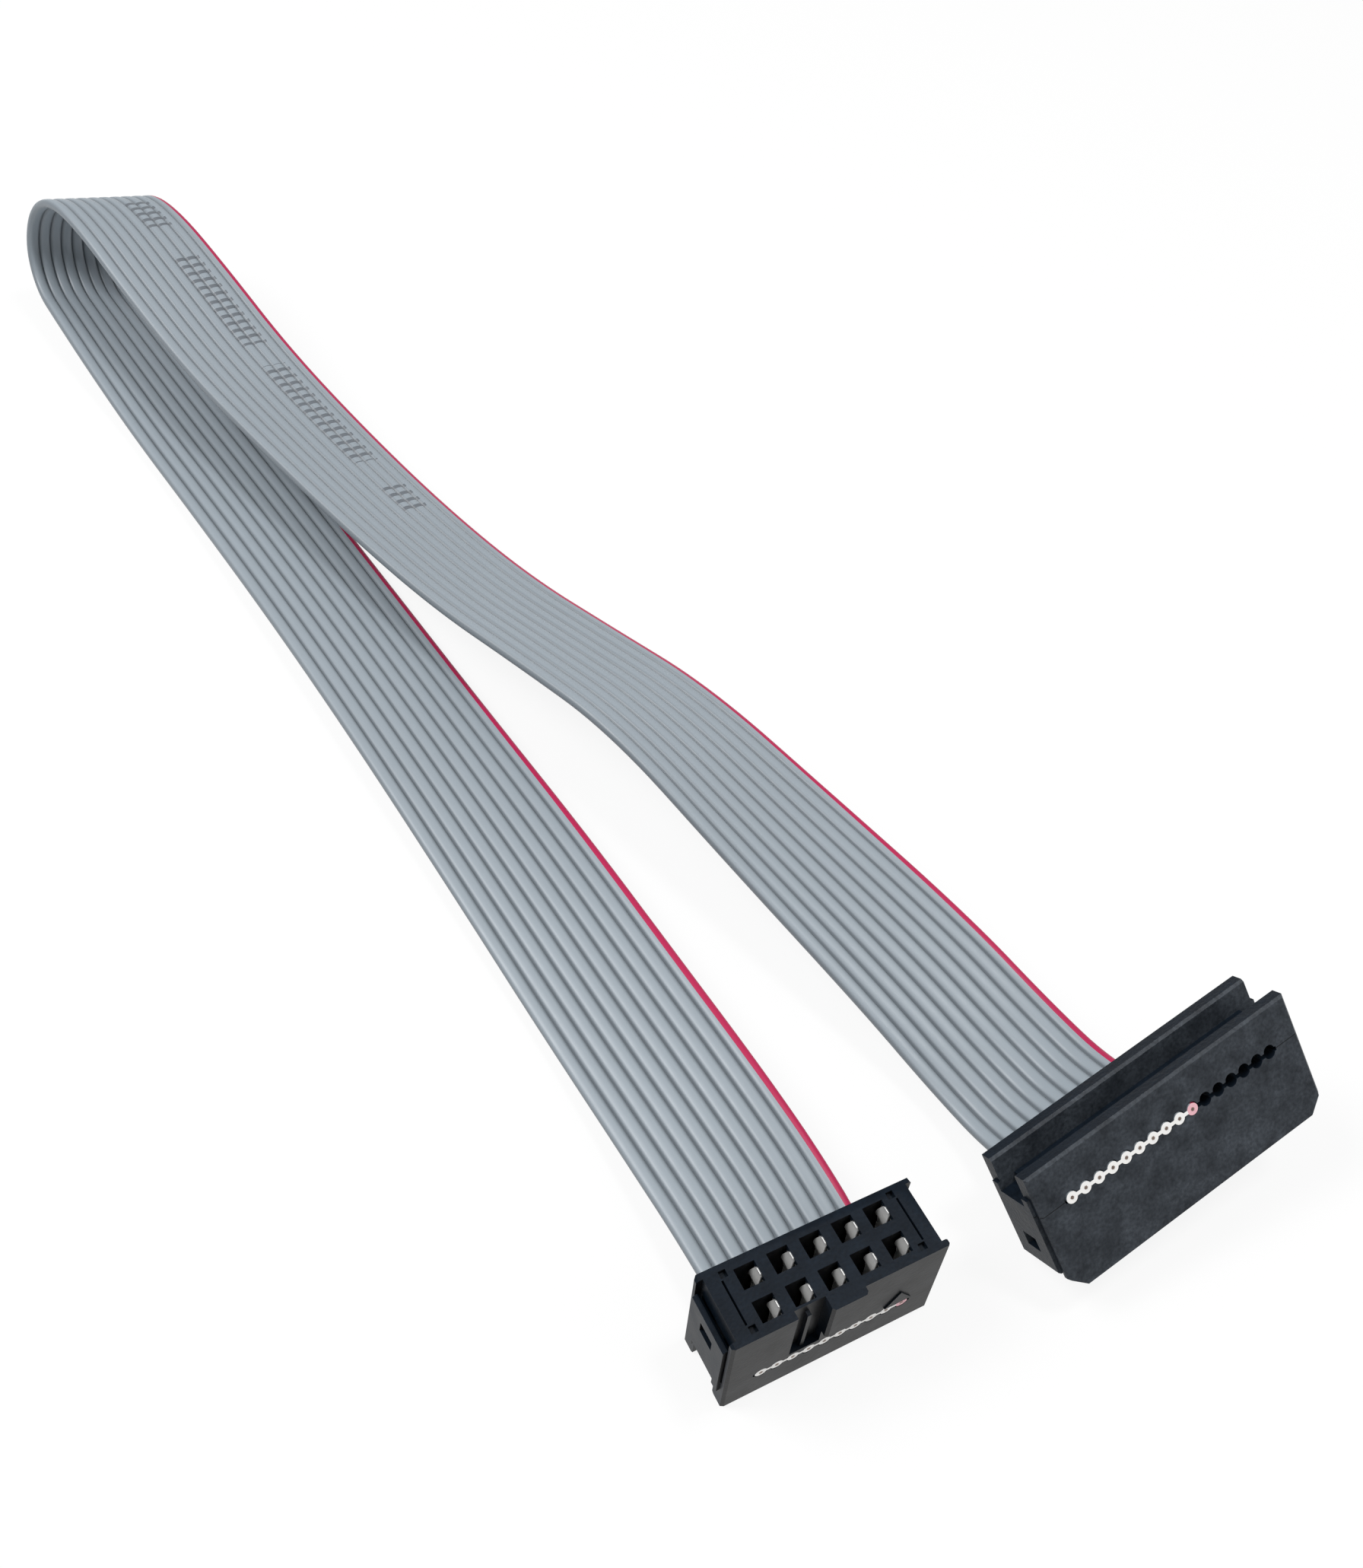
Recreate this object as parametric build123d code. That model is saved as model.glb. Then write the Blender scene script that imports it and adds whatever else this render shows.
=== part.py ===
from build123d import *
import os
from math import radians, tan

# Flat cable, millimetres
wire_pitch = 1.27
wire_count = 10
wire_diameter = 0.95
web_thickness = 0.3
conductor_diameter = 0.38

# Sockets
pin_pitch = 2.54
pin_row_spacing = 2.54
ten_way_columns = 5
sixteen_way_columns = 8
end_margin = 3.45
socket_width = 5.7
cover_height = 3.45
body_height = 6.85
edge_break = 0.2
groove_wire_gap = 0.03
groove_top_gap = 0.1

# Body of a socket
hole_side = 1.6
cavity_width = 2.0
cavity_depth = 1.6
face_thickness = 0.5
latch_recess_width = 4.7
latch_recess_depth = 0.5
corner_chamfer = 1.3
gate_slit_width = 0.16
gate_slit_length = 3.4
gate_pit_side = 0.55
gate_pit_spread = 4.2
gate_depth = 0.4
gate_from_end = 1.62
key_width = 2.8
key_height = 4.6
key_depth = 0.55
key_shift = 0.2
key_recess_width = 2.4
key_recess_wall = 0.18
mark_side = 2.2
mark_depth = 0.12
mark_from_end = 3.3
mark_above_seam = 0.6

# Cover of a socket
channel_width = 3.0
channel_depth = 2.0
end_notch_length = 1.3
end_notch_depth = 2.7
latch_thickness = 0.55
latch_proud = 0.25
latch_side_gap = 0.15
latch_end_drop = 1.6
latch_window_width = 1.6
latch_window_height = 1.2
latch_window_above_seam = 2.6
catch_gap = 0.05

# Contacts
sheet_thickness = 0.3
spring_thickness = 0.2
spring_width = 1.2
blade_half_width = 0.55
blade_above_wire = 0.85
blade_root = 0.75
blade_gap = 0.05
contact_base_height = 1.2

# Route of the flat cable from one socket's face to the other's: each point's place, then the
# bearing and the slope of the cable's width there, in degrees
route = [
    (0.0, 2.85, 3.45, 0, 0),
    (0.0, 8.0, 3.45, 1, 5),
    (-0.6, 17.0, 3.3, 4, 12),
    (-1.4, 29.0, 2.5, 4, 13),
    (-2.5, 44.0, 2.2, 4, 6),
    (-4.1, 62.0, 1.8, 5, -4),
    (-6.1, 82.0, 1.5, 6, -6),
    (-8.3, 101.5, 1.1, 7, -3),
    (-10.1, 115.5, 0.9, 8, -2),
    (-11.8, 127.0, 1.7, 8, -8),
    (-13.0, 135.8, 2.3, 9, -13),
    (-13.7, 141.4, 2.6, 9, -16),
    (-13.4, 144.9, 5.8, 10, -18),
    (-12.0, 144.8, 10.3, 11, -18),
    (-10.4, 141.4, 13.2, 13, -16),
    (-8.8, 135.5, 13.2, 14, -13),
    (-6.9, 126.8, 11.0, 14, -10),
    (-4.2, 114.0, 8.0, 15, -12),
    (-0.8, 100.4, 6.4, 16, -16),
    (2.8, 86.8, 5.4, 17, -18),
    (6.5, 74.3, 5.2, 17, -18),
    (10.2, 63.2, 6.5, 16, -17),
    (14.0, 51.6, 7.8, 15, -14),
    (17.9, 36.0, 6.2, 13, -4),
    (21.8, 21.0, 4.5, 10, 6),
    (23.8, 12.0, 3.0, 8, 9),
    (24.57, 5.03, 3.82, 6.6, 9.7),
    (24.49, 1.81, 6.43, 6.6, 9.7),
]

socket_height = cover_height + body_height
cable_width = wire_count * wire_pitch
wire_positions = [(n - (wire_count - 1) / 2) * wire_pitch for n in range(wire_count)]


def write(shape, name):
    """Saves a shape with the origin under the middle of the first socket, its key counted."""
    export_step(Pos(0, key_depth / 2, 0) * shape, f"parts/{name}.step")


def block(low, high):
    """A box from its lowest to its highest corner."""
    size = [b - a for a, b in zip(low, high)]
    middle = [(a + b) / 2 for a, b in zip(low, high)]
    return Pos(*middle) * Box(*size)


# ---------------------------------------------------------------- sockets
# A socket stands on its cover with its mating face up. The cable leaves towards +Y.


def half_length(columns):
    return (columns - 1) * pin_pitch / 2 + end_margin


def column_places(columns):
    return [(n - (columns - 1) / 2) * pin_pitch for n in range(columns)]


def slot_places(columns):
    count = 2 * columns
    return [(n - (count - 1) / 2) * wire_pitch for n in range(count)]


def contact_places(columns):
    """Column, row and wire slot of each contact: neighbouring wires go to opposite rows."""
    slots = slot_places(columns)
    places = []
    for n, column in enumerate(column_places(columns)):
        places.append((column, -pin_row_spacing / 2, slots[2 * n]))
        places.append((column, pin_row_spacing / 2, slots[2 * n + 1]))
    return places


def wire_grooves(columns, top_gap):
    """The scalloped slot between cover and body, along every wire place."""
    slots = slot_places(columns)
    reach = socket_width + 2
    flat = web_thickness + 2 * groove_wire_gap
    span = slots[-1] + wire_pitch / 2
    half = reach / 2
    cut = block((-span, -half, cover_height - flat / 2), (span, half, cover_height + flat / 2))
    radius = wire_diameter / 2 + groove_wire_gap
    heights = [cover_height, cover_height - top_gap] if top_gap else [cover_height]
    for x in slots:
        for z in heights:
            cut += Pos(x, 0, z) * Rot(90, 0, 0) * Cylinder(radius, reach)
    return cut


def blade_slots(columns, low, high):
    """Openings that let the contacts' blades pass through plastic, between two heights."""
    cuts = []
    half_x = blade_half_width + blade_gap
    half_y = sheet_thickness / 2 + blade_gap
    for column, row, slot in contact_places(columns):
        cuts.append(block((slot - half_x, row - half_y, low), (slot + half_x, row + half_y, high)))
    return cuts


def gate_marks(columns):
    """A thin slit with a square pit past each of its ends, near each end of the mating face."""
    cuts = []
    low = socket_height - gate_depth
    for side in (-1, 1):
        x = side * (half_length(columns) - gate_from_end)
        slit = Pos(x, 0, low + gate_depth) * Box(gate_slit_width, gate_slit_length, 2 * gate_depth)
        cuts.append(slit)
        for end in (-1, 1):
            y = end * gate_pit_spread / 2
            inner = x - side * gate_pit_side / 2
            cuts.append(Pos(inner, y, low + gate_depth) * Box(gate_pit_side, gate_pit_side, 2 * gate_depth))
    return cuts


def pin_cavities(columns):
    cuts = []
    floor = cover_height + blade_root
    for column, row, slot in contact_places(columns):
        top = socket_height - face_thickness
        cuts.append(
            block(
                (column - cavity_width / 2, row - cavity_depth / 2, floor),
                (column + cavity_width / 2, row + cavity_depth / 2, top),
            )
        )
        half = hole_side / 2
        cuts.append(block((column - half, row - half, top), (column + half, row + half, socket_height + 1)))
    return cuts


def orientation_key(key_side):
    """The polarising key on one long side, with its top at the mating face."""
    wall = socket_width / 2
    low = socket_height - key_height
    key = block(
        (key_shift - key_width / 2, wall - edge_break, low),
        (key_shift + key_width / 2, wall + key_depth, socket_height),
    )
    outer = key.edges().filter_by(Axis.Z).group_by(Axis.Y)[-1]
    key = chamfer(outer, edge_break)
    return key if key_side > 0 else mirror(key, about=Plane.XZ)


def key_recess(key_side):
    """The relief beside the key, split by a thin rib."""
    wall = socket_width / 2
    left = key_shift - key_width / 2 - key_recess_width
    right = key_shift - key_width / 2
    rib = left + 0.4 * key_recess_width
    inner = (pin_row_spacing + cavity_depth) / 2 + key_recess_wall
    cut = block((left, inner, cover_height + blade_root), (right, wall + 1, socket_height + 1))
    cut -= block((rib, inner, cover_height), (rib + sheet_thickness, wall - edge_break, socket_height - 1))
    return cut if key_side > 0 else mirror(cut, about=Plane.XZ)


def pin_one_mark(columns, key_side):
    """A raised triangle that points at the first pin's place, on the key's side."""
    x = half_length(columns) - mark_from_end
    z = cover_height + mark_above_seam
    half = mark_side / 2
    outline = Polyline((x - half, z), (x + half, z), (x, z + 0.8 * mark_side), close=True)
    face = make_face(Plane.XZ * outline)
    mark = extrude(face, amount=mark_depth, dir=(0, -1, 0))
    mark = Pos(0, -socket_width / 2, 0) * mark
    return mark if key_side < 0 else mirror(mark, about=Plane.XZ)


def latch_catch(columns, side):
    """The small wedge in an end recess that the cover's latch snaps over."""
    floor = half_length(columns) - latch_recess_depth
    reach = half_length(columns) + latch_proud - latch_thickness - floor + latch_thickness / 2
    half_y = latch_window_width / 2 - catch_gap
    low = cover_height + latch_window_above_seam + catch_gap
    high = low + latch_window_height - 2 * catch_gap
    wedge = Polyline((floor, low), (floor + reach, low), (floor, high), close=True)
    catch = extrude(make_face(Plane.XZ * wedge), amount=half_y, both=True)
    return catch if side > 0 else mirror(catch, about=Plane.YZ)


def make_body(columns, key_side, corner):
    half_x = half_length(columns)
    half_y = socket_width / 2
    body = block((-half_x, -half_y, cover_height), (half_x, half_y, socket_height))
    if corner > 0:
        corners = body.edges().filter_by(Axis.Y).group_by(Axis.Z)[-1]
        body = chamfer(corners, corner)
    body = chamfer(body.edges().filter_by(Axis.Z), edge_break)
    body += orientation_key(key_side)
    body -= key_recess(key_side)
    recess_low = half_x - latch_recess_depth
    half_recess = latch_recess_width / 2
    for side in (-1, 1):
        ends = sorted((side * recess_low, side * (half_x + 1)))
        body -= block(
            (ends[0], -half_recess, cover_height - 1), (ends[1], half_recess, socket_height + 1)
        )
        body += latch_catch(columns, side)
    body -= pin_cavities(columns)
    body -= blade_slots(columns, cover_height - 1, cover_height + blade_root)
    body -= gate_marks(columns)
    body -= wire_grooves(columns, 0)
    body += pin_one_mark(columns, key_side)
    return body


def latch_leg(columns, side):
    """The leg at one end of the cover, with the window that takes the body's catch."""
    outer = half_length(columns) + latch_proud
    inner = outer - latch_thickness
    half_y = latch_recess_width / 2 - latch_side_gap
    top = socket_height - latch_end_drop
    leg = block((inner, -half_y, channel_depth), (outer, half_y, top))
    low = cover_height + latch_window_above_seam
    half_window = latch_window_width / 2
    leg -= block((inner - 1, -half_window, low), (outer + 1, half_window, low + latch_window_height))
    leg = chamfer(leg.edges().filter_by(Axis.Y).group_by(Axis.Z)[-1], edge_break)
    return leg if side > 0 else mirror(leg, about=Plane.YZ)


def make_cover(columns):
    half_x = half_length(columns)
    half_y = socket_width / 2
    cover = block((-half_x, -half_y, 0), (half_x, half_y, cover_height))
    cover = chamfer(cover.edges().filter_by(Axis.Z), edge_break)
    channel = block(
        (-half_x - 1, -channel_width / 2, -1), (half_x + 1, channel_width / 2, channel_depth)
    )
    cover -= channel
    rim = cover.edges().filter_by(Axis.X).group_by(Axis.Z)[0]
    cover = chamfer(rim, edge_break)
    for side in (-1, 1):
        cover += latch_leg(columns, side)
        ends = sorted((side * (half_x - end_notch_length), side * (half_x + 1)))
        cover -= block(
            (ends[0], -channel_width / 2, -1), (ends[1], channel_width / 2, end_notch_depth)
        )
    cover -= blade_slots(columns, cover_height - blade_above_wire - blade_gap, cover_height + 1)
    cover -= wire_grooves(columns, groove_top_gap)
    return cover


def make_contact(column, row, slot):
    """A stamped contact: two springs for the pin and a forked blade that bites on the wire."""
    half_y = sheet_thickness / 2
    root = cover_height + blade_root
    base = block(
        (column - cavity_width / 2, row - half_y, root),
        (column + cavity_width / 2, row + half_y, root + contact_base_height),
    )
    tip = cover_height - blade_above_wire
    for side in (-1, 1):
        edges = sorted((slot + side * conductor_diameter / 2, slot + side * blade_half_width))
        base += block((edges[0], row - half_y, tip), (edges[1], row + half_y, root))
        walls = (cavity_width / 2, cavity_width / 2 - spring_thickness)
        edges = sorted((column + side * walls[0], column + side * walls[1]))
        top = socket_height - face_thickness
        low = root + contact_base_height / 2
        base += block((edges[0], row - spring_width / 2, low), (edges[1], row + spring_width / 2, top))
    return base


# ---------------------------------------------------------------- flat cable


def width_direction(bearing, slope, along):
    """The cable's width at a point of the route, square to the way it runs."""
    wanted = Vector(1, 0, 0).rotate(Axis.Y, -slope).rotate(Axis.Z, bearing)
    return (wanted - along * wanted.dot(along)).normalized()


def bend_list(points):
    """For each inner point: turn in degrees, trim along both runs and radius of its arc."""
    bends = []
    for before, corner, after in zip(points, points[1:], points[2:]):
        coming = corner - before
        going = after - corner
        turn = coming.get_angle(going)
        trim = 0.45 * min(coming.length, going.length)
        bends.append((turn, trim, trim / tan(radians(turn / 2))))
    return bends


def sweep_section(section):
    """A solid of one section along the whole route: prisms on the runs, turned solids on the arcs.
    The section is drawn with X along the cable's width."""
    points = [Vector(*stop[:3]) for stop in route]
    bends = bend_list(points)
    width = width_direction(*route[0][3:], (points[1] - points[0]).normalized())
    here = points[0]
    pieces = []
    for n in range(len(points) - 1):
        along = (points[n + 1] - points[n]).normalized()
        last = n == len(points) - 2
        run_end = points[n + 1] if last else points[n + 1] - along * bends[n][1]
        next_width = width_direction(*route[n + 1][3:], along)
        start = Plane(origin=here, x_dir=width, z_dir=along) * section
        end = Plane(origin=run_end, x_dir=next_width, z_dir=along) * section
        pieces.append(loft([start.face(), end.face()], ruled=True))
        width = next_width
        if last:
            break
        turn, trim, radius = bends[n]
        going = (points[n + 2] - points[n + 1]).normalized()
        pin = along.cross(going).normalized()
        centre = run_end + pin.cross(along) * radius
        pieces.append(revolve(end.face(), axis=Axis(centre, pin), revolution_arc=turn))
        width = width.rotate(Axis((0, 0, 0), pin), turn)
        here = points[n + 1] + going * trim
    return pieces[0].fuse(*pieces[1:])


def clamped_section(low, high, wires):
    """Round wires on their web, as they lie between a cover and its body."""
    left = max(low, wire_positions[0])
    right = min(high, wire_positions[-1])
    outline = Pos((left + right) / 2, 0) * Rectangle(right - left, web_thickness)
    for x in wires:
        outline += Pos(x, 0) * Circle(wire_diameter / 2)
    return outline


def strip_section(low, high):
    """The flat cable's plain outline between two places of its width."""
    return Pos((low + high) / 2, 0) * Rectangle(high - low, wire_diameter)


def end_planes():
    """The cable's section plane where it enters each socket, with Z the way it runs there."""
    points = [Vector(*stop[:3]) for stop in route]
    first = (points[1] - points[0]).normalized()
    last = (points[-1] - points[-2]).normalized()
    start = Plane(origin=points[0], x_dir=width_direction(*route[0][3:], first), z_dir=first)
    end = Plane(origin=points[-1], x_dir=width_direction(*route[-1][3:], last), z_dir=last)
    return start, end


def make_insulation(low, high, wires, contacts):
    """The plain strip along the route, and a ribbed end in each socket, cut by the blades."""
    start, end = end_planes()
    held = clamped_section(low, high, wires)
    near_end = extrude(start * held, amount=-socket_width)
    far_end = extrude(end * held, amount=socket_width)
    for contact in contacts:
        near_end -= contact
        far_end -= contact
    return sweep_section(strip_section(low, high)).fuse(near_end, far_end)


def sixteen_way_place():
    """The pose of the second socket, upside down on the cable's far end."""
    end = end_planes()[1]
    across = end.x_dir
    up = across.cross(end.z_dir * -1)
    shift = slot_places(sixteen_way_columns)[-1] - wire_positions[-1]
    middle = end.origin + end.z_dir * (socket_width / 2) + across * shift
    return Plane(origin=middle + up * cover_height, x_dir=across * -1, z_dir=up * -1).location


# ---------------------------------------------------------------- the whole


def make_socket(columns, key_side, corner):
    """A socket's body, cover and contacts, standing at the origin."""
    body = make_body(columns, key_side, corner)
    cover = make_cover(columns)
    contacts = [make_contact(*place) for place in contact_places(columns)]
    return body, cover, contacts


def report_route(volume):
    """Prints the bends, and the cable's volume beside its section times its length."""
    points = [Vector(*stop[:3]) for stop in route]
    bends = bend_list(points)
    for n, (turn, trim, radius) in enumerate(bends, 1):
        print(f"corner {n}: turn {turn:.1f} degrees, radius {radius:.1f} mm")
    line = FilletPolyline(*points, radius=[radius for turn, trim, radius in bends])
    expected = cable_width * wire_diameter * line.length
    print(f"free length {line.length:.1f} mm, section times length {expected:.0f} mm3")
    print(f"cable with its held ends {volume:.0f} mm3")


def main():
    os.makedirs("parts", exist_ok=True)
    place = sixteen_way_place()
    body, cover, near_contacts = make_socket(ten_way_columns, -1, edge_break)
    write(body, "ten_way_body")
    write(cover, "ten_way_cover")
    for n, contact in enumerate(near_contacts, 1):
        write(contact, f"ten_way_contact_{n:02d}")
    body, cover, far_contacts = make_socket(sixteen_way_columns, 1, corner_chamfer)
    far_contacts = [place * contact for contact in far_contacts]
    write(place * body, "sixteen_way_body")
    write(place * cover, "sixteen_way_cover")
    for n, contact in enumerate(far_contacts, 1):
        write(contact, f"sixteen_way_contact_{n:02d}")
    contacts = near_contacts + far_contacts
    edge = cable_width / 2
    seam = edge - wire_pitch
    grey = make_insulation(-edge, seam, wire_positions[:-1], contacts)
    red = make_insulation(seam, edge, wire_positions[-1:], contacts)
    write(grey, "ribbon_grey_insulation")
    write(red, "ribbon_red_edge_core")
    report_route(grey.volume + red.volume)


main()
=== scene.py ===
import bmesh
import bpy
from collections import namedtuple
from math import asin, cos, pi, radians, sin
from mathutils import Matrix, Vector


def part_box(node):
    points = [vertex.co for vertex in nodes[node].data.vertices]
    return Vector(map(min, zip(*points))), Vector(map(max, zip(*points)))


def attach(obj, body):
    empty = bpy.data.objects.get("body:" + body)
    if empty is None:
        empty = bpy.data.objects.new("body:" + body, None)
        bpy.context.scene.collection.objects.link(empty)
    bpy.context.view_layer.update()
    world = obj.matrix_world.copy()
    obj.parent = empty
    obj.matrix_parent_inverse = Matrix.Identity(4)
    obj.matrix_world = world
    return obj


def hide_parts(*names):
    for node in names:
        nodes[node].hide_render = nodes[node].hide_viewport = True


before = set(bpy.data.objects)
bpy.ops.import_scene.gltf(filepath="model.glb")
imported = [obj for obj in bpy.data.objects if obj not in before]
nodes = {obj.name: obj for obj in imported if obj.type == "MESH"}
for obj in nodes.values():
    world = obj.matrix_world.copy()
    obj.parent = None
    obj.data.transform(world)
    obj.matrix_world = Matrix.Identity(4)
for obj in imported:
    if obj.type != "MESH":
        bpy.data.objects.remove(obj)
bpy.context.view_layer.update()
print("frame loaded:", len(nodes), "CAD nodes")

mm = 0.001
white = (1, 1, 1, 1)
black = (0, 0, 0, 1)


# a wrapped socket, on which Python operators add Math nodes
class Wire:
    def __init__(self, maker, socket):
        self.maker = maker
        self.socket = socket

    def math(self, operation, *values):
        inputs = dict(enumerate(values))
        return self.maker.node("ShaderNodeMath", {"operation": operation}, inputs)

    def __add__(self, other):
        return self.math("ADD", self, other)

    def __radd__(self, other):
        return self.math("ADD", other, self)

    def __sub__(self, other):
        return self.math("SUBTRACT", self, other)

    def __rsub__(self, other):
        return self.math("SUBTRACT", other, self)

    def __mul__(self, other):
        return self.math("MULTIPLY", self, other)

    def __rmul__(self, other):
        return self.math("MULTIPLY", other, self)

    def __truediv__(self, other):
        return self.math("DIVIDE", self, other)

    def __rtruediv__(self, other):
        return self.math("DIVIDE", other, self)

    def __gt__(self, other):
        return self.math("GREATER_THAN", self, other)

    def __lt__(self, other):
        return self.math("LESS_THAN", self, other)

    def power(self, other):
        return self.math("POWER", self, other)

    def absolute(self):
        return self.math("ABSOLUTE", self)

    def cosine(self):
        return self.math("COSINE", self)

    def fraction(self):
        return self.math("FRACT", self)

    def part(self, axis):
        return self.maker.node("ShaderNodeSeparateXYZ", {}, {0: self}, axis)


# a material whose nodes all come from one method
class MaterialMaker:
    def __init__(self, name):
        self.material = bpy.data.materials.new(name)
        self.material.use_nodes = True
        self.nodes = self.material.node_tree.nodes
        self.links = self.material.node_tree.links
        self.nodes.clear()
        self.output = self.nodes.new("ShaderNodeOutputMaterial")

    def node(self, kind, settings, inputs, result=0):
        made = self.nodes.new(kind)
        for key, value in settings.items():
            setattr(made, key, value)
        for key, value in inputs.items():
            if isinstance(value, Wire):
                self.links.new(value.socket, made.inputs[key])
            else:
                made.inputs[key].default_value = value
        return Wire(self, made.outputs[result])

    def mixColours(self, amount, first, second):
        # with colours, the Mix node's sockets 0, 6 and 7 are its factor and its two colours
        inputs = {0: amount, 6: first, 7: second}
        return self.node("ShaderNodeMix", {"data_type": "RGBA"}, inputs, 2)

    def dot(self, first, second):
        return self.node("ShaderNodeVectorMath", {"operation": "DOT_PRODUCT"},
                         {0: first, 1: second}, "Value")

    def objectPlace(self):
        return self.node("ShaderNodeTexCoord", {}, {}, "Object")

    def ribbonLay(self):
        return self.node("ShaderNodeUVMap", {"uv_map": "ribbonLay"}, {})

    def noise(self, scale, detail=2.0):
        return self.node("ShaderNodeTexNoise", {},
                         {"Vector": self.objectPlace(), "Scale": scale, "Detail": detail})

    def bump(self, height, strength, distance):
        return self.node("ShaderNodeBump", {},
                         {"Height": height, "Strength": strength, "Distance": distance})

    def show(self, shader):
        self.links.new(shader.socket, self.output.inputs["Surface"])
        return self.material

    def surface(self, inputs):
        return self.show(self.node("ShaderNodeBsdfPrincipled", {}, inputs))


# a Geometry Nodes tree with a named input for each size that it is given
class TreeMaker:
    def __init__(self, name, sizes):
        self.tree = bpy.data.node_groups.new(name, "GeometryNodeTree")
        sockets = self.tree.interface
        sockets.new_socket("Geometry", in_out="INPUT", socket_type="NodeSocketGeometry")
        for size, value in sizes.items():
            kind = "NodeSocketInt" if isinstance(value, int) else "NodeSocketFloat"
            sockets.new_socket(size, in_out="INPUT", socket_type=kind)
        sockets.new_socket("Geometry", in_out="OUTPUT", socket_type="NodeSocketGeometry")
        self.given = self.node("NodeGroupInput", {}, {}).outputs

    def node(self, kind, settings, inputs):
        made = self.tree.nodes.new(kind)
        for key, value in settings.items():
            setattr(made, key, value)
        for key, value in inputs.items():
            if isinstance(value, bpy.types.NodeSocket):
                self.tree.links.new(value, made.inputs[key])
            else:
                made.inputs[key].default_value = value
        return made

    def math(self, operation, first, second):
        inputs = {0: first, 1: second}
        return self.node("ShaderNodeMath", {"operation": operation}, inputs).outputs[0]

    def finish(self, instances, material):
        real = self.node("GeometryNodeRealizeInstances", {}, {"Geometry": instances})
        coloured = self.node("GeometryNodeSetMaterial", {},
                             {"Geometry": real.outputs[0], "Material": material})
        self.node("NodeGroupOutput", {}, {0: coloured.outputs[0]})
        return self.tree


def linkMesh(name, mesh, *materials):
    for material in materials:
        mesh.materials.append(material)
    made = bpy.data.objects.new(name, mesh)
    bpy.context.scene.collection.objects.link(made)
    return made


def faceOutwards(mesh):
    shape = bmesh.new()
    shape.from_mesh(mesh)
    bmesh.ops.recalc_face_normals(shape, faces=shape.faces)
    shape.to_mesh(mesh)
    shape.free()


def growOn(holder, tree, sizes):
    # runs the tree on the holder's mesh, and leaves it a plain mesh without a modifier
    modifier = holder.modifiers.new(tree.name, "NODES")
    modifier.node_group = tree
    for item in tree.interface.items_tree:
        if item.in_out == "INPUT" and item.name in sizes:
            modifier[item.identifier] = sizes[item.name]
    ready = holder.evaluated_get(bpy.context.evaluated_depsgraph_get())
    plain = bpy.data.meshes.new_from_object(ready)
    holder.modifiers.clear()
    holder.data = plain


ribbon = {
    "pitch": 1.27 * mm,
    "wires": 10,
    "wireRadius": 0.475 * mm,
    "halfWeb": 0.15 * mm,
    "arcSteps": 8,
    "splineSteps": 10,
    "heldEnd": 5.7 * mm,  # how far a socket holds it
    "lobeCrown": 3.0,
    "lobeReach": 0.495,  # share of the pitch
    "settleLength": 2.5 * mm,  # from its held shape to its free shape
    "greyLight": (0.275, 0.315, 0.35, 1),
    # painted shade: the darker grey for the grooves between the wires, where the lobes shade each
    # other
    "paintedGrooveShadeGrey": (0.10, 0.115, 0.13, 1),
    "grooveSharpness": 3.0,
    "grooveShade": 0.65,
    "dustScale": 60,
    "dustShade": 0.12,
    "grainScale": 900,
    "grainBump": 0.08,
    "grainDepth": 0.05 * mm,
    "roughness": 0.36,
    "roughnessRange": 0.12,
    "specular": 0.45,
    "red": (0.40, 0.012, 0.07, 1),
    "redFrom": 0.50,  # share of the last wire's width
}
ribbonWidth = ribbon["pitch"] * ribbon["wires"]

# plain printed blocks along the red side
marks = {
    "tone": (0.09, 0.10, 0.115, 1),
    "shade": 0.8,
    "across": (0.60, 0.83),  # shares of the cable's width
    "stretches": ((161, 166), (171, 185.5), (189, 206), (210.5, 214.5)),  # millimetres along
    "step": 1.15,  # millimetres
    "share": 0.42,
    "edgeScale": 1800,
    "edgeRaggedness": 0.012,
}

cutEnd = {
    "colour": (0.88, 0.87, 0.85, 1),
    "redColour": (0.80, 0.45, 0.50, 1),
    "redFrom": 0.15,  # share of the last wire's width
    "roughness": 0.55,
    "grainScale": 6000,
    "grainBump": 0.2,
    "grainDepth": 0.03 * mm,
}

frameShift = 0.275  # half the depth of the 2 by 5 socket's key, in millimetres

# each point's place in millimetres, then the bearing and slope of the cable's width in degrees
route = [
    (0.0, 2.85, 3.45, 0, 0),
    (0.0, 8.0, 3.45, 1, 5),
    (-0.6, 17.0, 3.3, 4, 12),
    (-1.4, 29.0, 2.5, 4, 13),
    (-2.5, 44.0, 2.2, 4, 6),
    (-4.1, 62.0, 1.8, 5, -4),
    (-6.1, 82.0, 1.5, 6, -6),
    (-8.3, 101.5, 1.1, 7, -3),
    (-10.1, 115.5, 0.9, 8, -2),
    (-11.8, 127.0, 1.7, 8, -8),
    (-13.0, 135.8, 2.3, 9, -13),
    (-13.7, 141.4, 2.6, 9, -16),
    (-13.4, 144.9, 5.8, 10, -18),
    (-12.0, 144.8, 10.3, 11, -18),
    (-10.4, 141.4, 13.2, 13, -16),
    (-8.8, 135.5, 13.2, 14, -13),
    (-6.9, 126.8, 11.0, 14, -10),
    (-4.2, 114.0, 8.0, 15, -12),
    (-0.8, 100.4, 6.4, 16, -16),
    (2.8, 86.8, 5.4, 17, -18),
    (6.5, 74.3, 5.2, 17, -18),
    (10.2, 63.2, 6.5, 16, -17),
    (14.0, 51.6, 7.8, 15, -14),
    (17.9, 36.0, 6.2, 13, -4),
    (21.8, 21.0, 4.5, 10, 6),
    (23.8, 12.0, 3.0, 8, 9),
    (24.57, 5.03, 3.82, 6.6, 9.7),
    (24.49, 1.81, 6.43, 6.6, 9.7),
]

# one place along the cable: its middle, and the directions of its width, thickness and run
Station = namedtuple("Station", "centre across up ahead")


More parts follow.
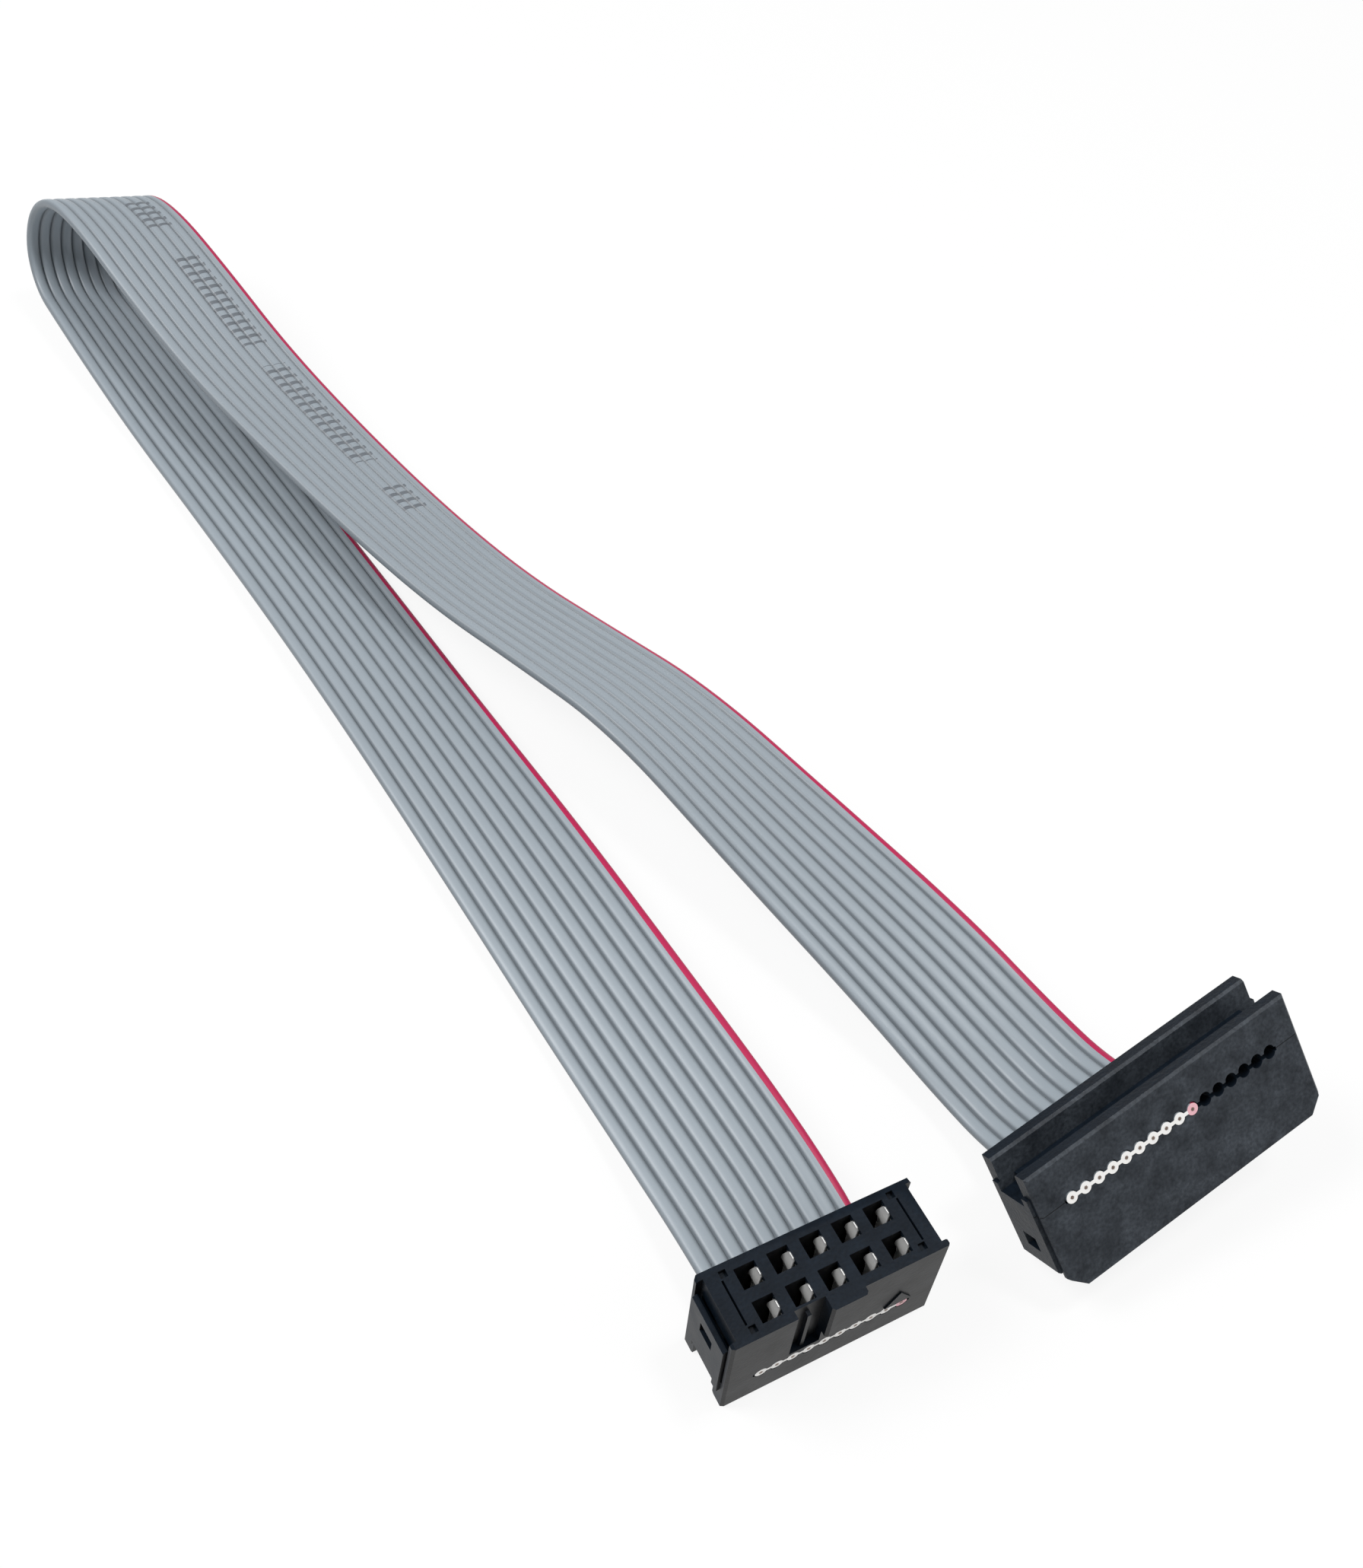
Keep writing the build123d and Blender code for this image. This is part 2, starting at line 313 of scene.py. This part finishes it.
def smoothLine(name, points):
    # the points of a smooth spline that these points steer
    curve = bpy.data.curves.new(name, "CURVE")
    curve.dimensions = "3D"
    spline = curve.splines.new("NURBS")
    spline.points.add(len(points) - 1)
    for made, point in zip(spline.points, points):
        made.co = (*point, 1)
    spline.order_u = 3
    spline.use_endpoint_u = True
    spline.resolution_u = ribbon["splineSteps"]
    holder = bpy.data.objects.new(name, curve)
    bpy.context.scene.collection.objects.link(holder)
    mesh = bpy.data.meshes.new_from_object(holder)
    line = [vertex.co.copy() for vertex in mesh.vertices]
    bpy.data.objects.remove(holder)
    bpy.data.curves.remove(curve)
    bpy.data.meshes.remove(mesh)
    return line


def runDirections(centres):
    # the ends point along the route's own first and last steps, square to the sockets
    ends = [Vector(point[:3]) for point in (*route[:2], *route[-2:])]
    aheads = [ends[1] - ends[0]]
    aheads += [after - before for before, after in zip(centres, centres[2:])]
    aheads.append(ends[3] - ends[2])
    return [ahead.normalized() for ahead in aheads]


def layDirection(bearing, slope, ahead):
    wanted = Matrix.Rotation(radians(-slope), 3, "Y") @ Vector((1, 0, 0))
    wanted = Matrix.Rotation(radians(bearing), 3, "Z") @ wanted
    return (wanted - ahead * wanted.dot(ahead)).normalized()


def ribbonStations():
    centres = smoothLine("ribbonRoute", [(x * mm, (y + frameShift) * mm, z * mm)
                                         for x, y, z, bearing, slope in route])
    turns = smoothLine("ribbonTurns", [(bearing, slope, 0) for x, y, z, bearing, slope in route])
    stations = []
    for centre, turn, ahead in zip(centres, turns, runDirections(centres)):
        across = layDirection(turn.x, turn.y, ahead)
        stations.append(Station(centre, across, across.cross(ahead), ahead))
    first, last = stations[0], stations[-1]
    return [first._replace(centre=first.centre - first.ahead * ribbon["heldEnd"]), *stations,
            last._replace(centre=last.centre + last.ahead * ribbon["heldEnd"])]


def lineLength(stations):
    return sum((b.centre - a.centre).length for a, b in zip(stations, stations[1:]))


def wireOffsets():
    middle = (ribbon["wires"] - 1) / 2
    return [(n - middle) * ribbon["pitch"] for n in range(ribbon["wires"])]


def ribbonOutline(freedom):
    # round wires on a thin web where held, and fuller lobes with narrow grooves where free
    radius, web = ribbon["wireRadius"], ribbon["halfWeb"]
    webAngle = asin(web / radius)
    offsets = wireOffsets()
    upper = []
    for n, offset in enumerate(offsets):
        isFirst, isLast = n == 0, n == len(offsets) - 1
        start = pi if isFirst else pi - webAngle
        stop = 0 if isLast else webAngle
        for step in range(ribbon["arcSteps"] + 1):
            share = step / ribbon["arcSteps"]
            angle = start + (stop - start) * share
            heldPlace = Vector((radius * cos(angle), radius * sin(angle)))
            side = -cos(pi * share)
            isOuter = (isFirst and side < 0) or (isLast and side > 0)
            base = 0 if isOuter else web
            crown = (1 - abs(side) ** ribbon["lobeCrown"]) ** 0.5
            freePlace = Vector((side * ribbon["pitch"] * ribbon["lobeReach"],
                                base + (radius - base) * crown))
            x, z = heldPlace.lerp(freePlace, freedom)
            upper.append((offset + x, z))
    lower = [(x, -z) for x, z in reversed(upper[1:-1])]
    return upper + lower


def endFaces(count, base):
    # strips between matching points of the upper and the lower outline, so the end stays flat
    faces = []
    for k in range(count // 2):
        corners = []
        for corner in (k, k + 1, count - k - 1, (count - k) % count):
            if base + corner not in corners:
                corners.append(base + corner)
        if len(corners) > 2:
            faces.append(tuple(corners))
    return faces


def buildRibbon(stations, materials):
    count = len(ribbonOutline(0))
    whole = lineLength(stations)
    points, reach, run = [], [], 0
    for n, station in enumerate(stations):
        run += (station.centre - stations[n - 1].centre).length if n else 0
        free = min(run, whole - run) - ribbon["heldEnd"]
        freedom = min(max(free / ribbon["settleLength"], 0), 1)
        for x, z in ribbonOutline(freedom):
            points.append(station.centre + station.across * x + station.up * z)
            reach.append((x / ribbonWidth + 0.5, run))
    faces = []
    for base in range(0, (len(stations) - 1) * count, count):
        for k in range(count):
            after = (k + 1) % count
            faces.append((base + k, base + after, base + count + after, base + count + k))
    sideFaces = len(faces)
    faces += endFaces(count, 0) + endFaces(count, sideFaces)
    mesh = bpy.data.meshes.new("ribbonCable")
    mesh.from_pydata(points, [], faces)
    lay = mesh.uv_layers.new(name="ribbonLay")
    for loop in mesh.loops:
        lay.data[loop.index].uv = reach[loop.vertex_index]
    # the side that shows on top after the fold
    upperSide = mesh.attributes.new("upperSide", "FLOAT", "POINT")
    for n, entry in enumerate(upperSide.data):
        entry.value = 1.0 if n % count > count // 2 else 0.0
    for polygon in mesh.polygons:
        isSide = polygon.index < sideFaces
        polygon.use_smooth = isSide
        polygon.material_index = 0 if isSide else 1
    faceOutwards(mesh)
    return linkMesh("ribbonCable", mesh, *materials)


def ribbonMaterial():
    made = MaterialMaker("greyRibbonPlastic")
    lay = made.ribbonLay()
    across = lay.part(0) * ribbon["wires"]
    # painted shade: the grey darkens along the grooves between the wires, where the lobes shade
    # each other, and the dust adds random tone
    paintedShadeInGrooves = ((across * (2 * pi)).cosine() * 0.5 + 0.5).power(ribbon["grooveSharpness"])
    grain = made.noise(ribbon["grainScale"])
    dust = made.noise(ribbon["dustScale"])
    shade = paintedShadeInGrooves * ribbon["grooveShade"] + dust * ribbon["dustShade"]
    grey = made.mixColours(shade, ribbon["greyLight"], ribbon["paintedGrooveShadeGrey"])
    grey = made.mixColours(printedBlocks(made, lay) * marks["shade"], grey, marks["tone"])
    redSide = across > (ribbon["wires"] - 1 + ribbon["redFrom"])
    return made.surface({
        "Base Color": made.mixColours(redSide, grey, ribbon["red"]),
        "Roughness": grain * ribbon["roughnessRange"] + ribbon["roughness"],
        "Specular IOR Level": ribbon["specular"],
        "Normal": made.bump(grain, ribbon["grainBump"], ribbon["grainDepth"]),
    })


def printedBlocks(made, lay):
    run = lay.part(1) / mm
    inStretch = 0
    for start, stop in marks["stretches"]:
        inStretch = (run > start) * (run < stop) + inStretch
    low, high = marks["across"]
    edge = lay.part(0) + made.noise(marks["edgeScale"]) * marks["edgeRaggedness"]
    band = (edge > low) * (edge < high)
    bars = (run / marks["step"]).fraction() < marks["share"]
    upperSide = made.node("ShaderNodeAttribute", {"attribute_name": "upperSide"}, {}, "Fac")
    return inStretch * band * bars * upperSide


def cutEndMaterial():
    made = MaterialMaker("cutInsulation")
    redSide = made.ribbonLay().part(0) * ribbon["wires"] > (ribbon["wires"] - 1 + cutEnd["redFrom"])
    grain = made.noise(cutEnd["grainScale"])
    return made.surface({
        "Base Color": made.mixColours(redSide, cutEnd["colour"], cutEnd["redColour"]),
        "Roughness": cutEnd["roughness"],
        "Normal": made.bump(grain, cutEnd["grainBump"], cutEnd["grainDepth"]),
    })


strands = {
    "aroundCore": 6,
    "radius": 0.05 * mm,
    "length": 0.2 * mm,
    "proud": 0.03 * mm,  # past the cut insulation
    "sides": 10,
    "colour": (0.10, 0.06, 0.05, 1),
    "brightColour": (0.45, 0.36, 0.30, 1),
    "toneScale": 3000,
    "metallic": 0.9,
    "roughness": 0.4,
}
strandSizes = {"Strands": strands["aroundCore"], "Strand Radius": strands["radius"],
               "Strand Length": strands["length"], "Sides": strands["sides"]}


def strandMaterial():
    made = MaterialMaker("tinnedCopperStrands")
    tone = made.noise(strands["toneScale"])
    return made.surface({
        "Base Color": made.mixColours(tone, strands["colour"], strands["brightColour"]),
        "Metallic": strands["metallic"],
        "Roughness": strands["roughness"],
    })


def strandTree(material):
    # a bundle of strands at every vertex, each standing along its vertex's direction
    tree = TreeMaker("strandBundles", strandSizes)
    given = tree.given
    ring = tree.node("GeometryNodeMeshCircle", {}, {
        "Vertices": given["Strands"],
        "Radius": tree.math("MULTIPLY", given["Strand Radius"], 2),
    })
    ringPoints = tree.node("GeometryNodeMeshToPoints", {}, {"Mesh": ring.outputs[0]})
    core = tree.node("GeometryNodePoints", {}, {"Count": 1})
    places = tree.node("GeometryNodeJoinGeometry", {}, {})
    for source in (ringPoints, core):
        tree.tree.links.new(source.outputs[0], places.inputs[0])
    strand = tree.node("GeometryNodeMeshCylinder", {}, {
        "Vertices": given["Sides"],
        "Radius": given["Strand Radius"],
        "Depth": given["Strand Length"],
    })
    bundle = tree.node("GeometryNodeInstanceOnPoints", {}, {
        "Points": places.outputs[0],
        "Instance": strand.outputs["Mesh"],
    })
    facing = tree.node("GeometryNodeInputNamedAttribute", {"data_type": "FLOAT_VECTOR"},
                       {"Name": "facing"})
    turned = tree.node("FunctionNodeAlignRotationToVector", {"axis": "Z"},
                       {"Vector": facing.outputs[0]})
    every = tree.node("GeometryNodeInstanceOnPoints", {}, {
        "Points": given["Geometry"],
        "Instance": bundle.outputs[0],
        "Rotation": turned.outputs[0],
    })
    return tree.finish(every.outputs[0], material)


def buildStrands(name, station, outward, material, tree):
    middle = station.centre + outward * (strands["proud"] - strands["length"] / 2)
    mesh = bpy.data.meshes.new(name)
    mesh.from_pydata([middle + station.across * offset for offset in wireOffsets()], [], [])
    facing = mesh.attributes.new("facing", "FLOAT_VECTOR", "POINT")
    for entry in facing.data:
        entry.vector = outward
    holder = linkMesh(name, mesh, material)
    growOn(holder, tree, strandSizes)
    return holder


plastic = {
    "colour": (0.002, 0.0035, 0.006, 1),
    "wornColour": (0.010, 0.018, 0.030, 1),
    "grainScale": 3600,
    "grainDetail": 3.0,
    "grainDepth": 0.04 * mm,
    "cloudScale": 560,
    "cloudShade": 0.9,
    "grainShade": (1.2, 0.1),  # by how much the grain counts, and what is added
    "roughnessRange": 0.12,
    "litWallFacing": 0.6,
    "seamHalf": 0.035 * mm,
    "seamShade": 0.85,
}

# each socket's own finish, by the start of its nodes' names
finishes = {
    "ten_way": {
        "name": "blackSocketPlastic",
        # painted light: the brownish highlight of the lit long walls
        "paintedWallLightColour": (0.022, 0.020, 0.018, 1),
        "roughness": 0.34,
        "grainBump": 0.25,
        "specular": 0.11,
    },
    "sixteen_way": {
        "name": "blackMattePlastic",
        # painted light: the paler grey of the lit long walls
        "paintedWallLightColour": (0.095, 0.110, 0.130, 1),
        "roughness": 0.38,
        "grainBump": 0.8,
        "specular": 0.14,
    },
}


def plasticMaterial(finish, station):
    made = MaterialMaker(finish["name"])
    grain = made.noise(plastic["grainScale"], plastic["grainDetail"])
    cloud = made.noise(plastic["cloudScale"])
    grainShare, grainBase = plastic["grainShade"]
    patches = (cloud * plastic["cloudShade"]) * (grain * grainShare + grainBase)
    # the long walls, which face along the cable, are mottled towards a lighter colour, which is
    # painted light for their lit near side; the rest is mottled towards the worn colour
    normal = made.node("ShaderNodeNewGeometry", {}, {}, "Normal")
    paintedLitWall = made.dot(normal, station.ahead).absolute() > plastic["litWallFacing"]
    wearAndPaintedWallLight = made.mixColours(paintedLitWall, plastic["wornColour"], finish["paintedWallLightColour"])
    colour = made.mixColours(patches, plastic["colour"], wearAndPaintedWallLight)
    # the fine joint where the cover meets the body, level with the cable
    height = made.dot(made.objectPlace(), station.up) - station.centre.dot(station.up)
    seam = height.absolute() < plastic["seamHalf"]
    return made.surface({
        "Base Color": made.mixColours(seam * plastic["seamShade"], colour, black),
        "Roughness": cloud * plastic["roughnessRange"] + finish["roughness"],
        "Specular IOR Level": finish["specular"],
        "Normal": made.bump(grain, finish["grainBump"], plastic["grainDepth"]),
    })


contacts = {
    "colour": (0.86, 0.86, 0.85, 1),
    "dullColour": (0.70, 0.70, 0.69, 1),
    "streakScale": 1500,
    "metallic": 0.7,
    "roughness": 0.38,
    "roughnessRange": 0.15,
}


def contactMaterial():
    made = MaterialMaker("tinnedContact")
    streak = made.noise(contacts["streakScale"])
    return made.surface({
        "Base Color": made.mixColours(streak, contacts["colour"], contacts["dullColour"]),
        "Metallic": contacts["metallic"],
        "Roughness": streak * contacts["roughnessRange"] + contacts["roughness"],
    })


leaves = {
    "pinPitch": 2.54 * mm,
    "columns": 5,
    "rows": 2,
    "topBelowFace": 0.1 * mm,
    "height": 2.3 * mm,
    "width": 1.2 * mm,
    "tipShare": 0.4,  # the tip's width as a share of the leaf's
    "taperLength": 1 / 3,  # share of the height
    "thickness": 0.12 * mm,
    "fromMiddle": 0.72 * mm,
    "bow": 0.32 * mm,
    "bowLength": 1 / 1.15,  # share of the height
    "bowShape": 1.3,
    "steps": 14,
}
leafSizes = {"Columns": leaves["columns"], "Rows": leaves["rows"], "Pitch": leaves["pinPitch"]}


def leafTree(material):
    # the spring repeated over the grid of pin holes
    tree = TreeMaker("contactLeaves", leafSizes)
    given = tree.given
    columnGaps = tree.math("SUBTRACT", given["Columns"], 1)
    rowGaps = tree.math("SUBTRACT", given["Rows"], 1)
    grid = tree.node("GeometryNodeMeshGrid", {}, {
        "Size X": tree.math("MULTIPLY", columnGaps, given["Pitch"]),
        "Size Y": tree.math("MULTIPLY", rowGaps, given["Pitch"]),
        "Vertices X": given["Columns"],
        "Vertices Y": given["Rows"],
    })
    every = tree.node("GeometryNodeInstanceOnPoints", {}, {
        "Points": grid.outputs["Mesh"],
        "Instance": given["Geometry"],
    })
    return tree.finish(every.outputs[0], material)


def leafMesh():
    # one spring, as a closed strip that bows into its hole
    points, faces = [], []
    tip = leaves["tipShare"]
    for n in range(leaves["steps"] + 1):
        share = n / leaves["steps"]
        bowed = sin(pi * min(share / leaves["bowLength"], 1)) ** leaves["bowShape"]
        inner = leaves["fromMiddle"] - leaves["bow"] * bowed
        opened = min(share / leaves["taperLength"], 1) ** 0.5
        half = leaves["width"] / 2 * (tip + (1 - tip) * opened)
        z = -leaves["height"] * share
        outer = inner + leaves["thickness"]
        points += [(inner, -half, z), (inner, half, z), (outer, half, z), (outer, -half, z)]
    for base in range(0, 4 * leaves["steps"], 4):
        for k in range(4):
            after = (k + 1) % 4
            faces.append((base + k, base + after, base + 4 + after, base + 4 + k))
    last = 4 * leaves["steps"]
    faces += [(3, 2, 1, 0), (last, last + 1, last + 2, last + 3)]
    mesh = bpy.data.meshes.new("contactLeaf")
    mesh.from_pydata(points, [], faces)
    faceOutwards(mesh)
    return mesh


def buildLeaves(material):
    holder = linkMesh("tenWayContactLeaves", leafMesh(), material)
    growOn(holder, leafTree(material), leafSizes)
    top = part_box("ten_way_body")[1][2] - leaves["topBelowFace"]
    holder.data.transform(Matrix.Translation((0, frameShift * mm, top)))
    return holder


def dressSockets(socketEnds, metal):
    chosen = {start: plasticMaterial(finish, socketEnds[start])
              for start, finish in finishes.items()}
    for name, node in nodes.items():
        for start, plasticChosen in chosen.items():
            if name.startswith(start):
                node.data.materials.clear()
                node.data.materials.append(metal if "contact" in name else plasticChosen)


stations = ribbonStations()
nearEnd, farEnd = stations[0], stations[-1]
cable = buildRibbon(stations, [ribbonMaterial(), cutEndMaterial()])
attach(cable, "root")
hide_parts("ribbon_grey_insulation", "ribbon_red_edge_core")
print("ribbon cable:", len(stations), "stations,", len(cable.data.polygons), "faces")

strandMetal = strandMaterial()
bundles = strandTree(strandMetal)
nearStrands = buildStrands("tenWayWireStrands", nearEnd, -nearEnd.ahead, strandMetal, bundles)
farStrands = buildStrands("sixteenWayWireStrands", farEnd, farEnd.ahead, strandMetal, bundles)
for piece in (nearStrands, farStrands):
    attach(piece, "root")
print("wire ends:", len(nearStrands.data.polygons), "faces each")

contactMetal = contactMaterial()
dressSockets({"ten_way": nearEnd, "sixteen_way": farEnd}, contactMetal)
springs = buildLeaves(contactMetal)
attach(springs, "root")
print("sockets dressed, contact leaves:", len(springs.data.polygons), "faces")

print("cord declared, measured length", round(lineLength(stations), 4))

studio = {
    "floorHalf": 3.0,
    "floorColour": (0.80, 0.80, 0.80, 1),
    "floorGlow": 0.88,
    "skyStrength": 0.36,
}

objectMiddle = (0.005, 0.07, 0.005)
lights = {
    "keyLight": {"place": (-0.28, 0.22, 0.42), "aim": objectMiddle, "size": 0.22, "watts": 2.3},
    "fillLight": {"place": (0.30, -0.28, 0.30), "aim": objectMiddle, "size": 0.25, "watts": 0.45},
    "edgeLight": {"place": (0.13, 0.0, 0.42), "aim": (0.03, 0, 0.01), "size": 0.08, "watts": 0.7},
}

# places in millimetres, the roll in degrees
camera = {
    "eye": (-36.54, -35.70 + frameShift, 116.84),
    "aim": (15.10, 48.84 + frameShift, 0),
    "roll": 5.34,
    "lens": 38.48,
    "sensorHeight": 36,
    "nearest": 0.001,
}


def buildFloor():
    side = studio["floorHalf"]
    mesh = bpy.data.meshes.new("floor")
    mesh.from_pydata([(-side, -side, 0), (side, -side, 0), (side, side, 0), (-side, side, 0)], [],
                     [(0, 1, 2, 3)])
    # the floor shows white to the lens and in reflections, and keeps its shadows
    made = MaterialMaker("paleFloor")
    paper = made.node("ShaderNodeBsdfDiffuse", {}, {"Color": studio["floorColour"]})
    glow = made.node("ShaderNodeEmission", {}, {"Color": white, "Strength": 1.0})
    seen, mirrored, through = (made.node("ShaderNodeLightPath", {}, {}, ray) for ray in
                               ("Is Camera Ray", "Is Glossy Ray", "Is Transmission Ray"))
    share = (seen + mirrored + through) * studio["floorGlow"]
    made.show(made.node("ShaderNodeMixShader", {}, {0: share, 1: paper, 2: glow}))
    linkMesh("floor", mesh, made.material)


def buildWorld():
    world = bpy.data.worlds.new("studioSky")
    bpy.context.scene.world = world
    world.use_nodes = True
    tree = world.node_tree
    sky = tree.nodes["Background"]
    sky.inputs["Color"].default_value = white
    rays = tree.nodes.new("ShaderNodeLightPath")
    strength = tree.nodes.new("ShaderNodeMapRange")
    strength.inputs["To Min"].default_value = studio["skyStrength"]
    strength.inputs["To Max"].default_value = 1.0
    tree.links.new(rays.outputs["Is Camera Ray"], strength.inputs["Value"])
    tree.links.new(strength.outputs[0], sky.inputs["Strength"])


def aimAt(place, aim):
    return (Vector(aim) - Vector(place)).to_track_quat("-Z", "Y")


def placeLights():
    for name, light in lights.items():
        lamp = bpy.data.lights.new(name, "AREA")
        lamp.size = light["size"]
        lamp.energy = light["watts"]
        holder = bpy.data.objects.new(name, lamp)
        holder.location = light["place"]
        holder.rotation_euler = aimAt(light["place"], light["aim"]).to_euler()
        bpy.context.scene.collection.objects.link(holder)


def placeCamera():
    lens = bpy.data.cameras.new("camera")
    lens.sensor_fit = "VERTICAL"
    lens.sensor_height = camera["sensorHeight"]
    lens.lens = camera["lens"]
    lens.clip_start = camera["nearest"]
    holder = bpy.data.objects.new("camera", lens)
    bpy.context.scene.collection.objects.link(holder)
    turned = aimAt(camera["eye"], camera["aim"]).to_matrix()
    turned = turned @ Matrix.Rotation(radians(camera["roll"]), 3, "Z")
    place = Matrix.Translation(Vector(camera["eye"]) * mm)
    holder.matrix_world = place @ turned.to_4x4()
    bpy.context.scene.camera = holder


buildFloor()
buildWorld()
placeLights()
placeCamera()
bpy.context.scene.view_settings.view_transform = "Standard"
print("studio ready")
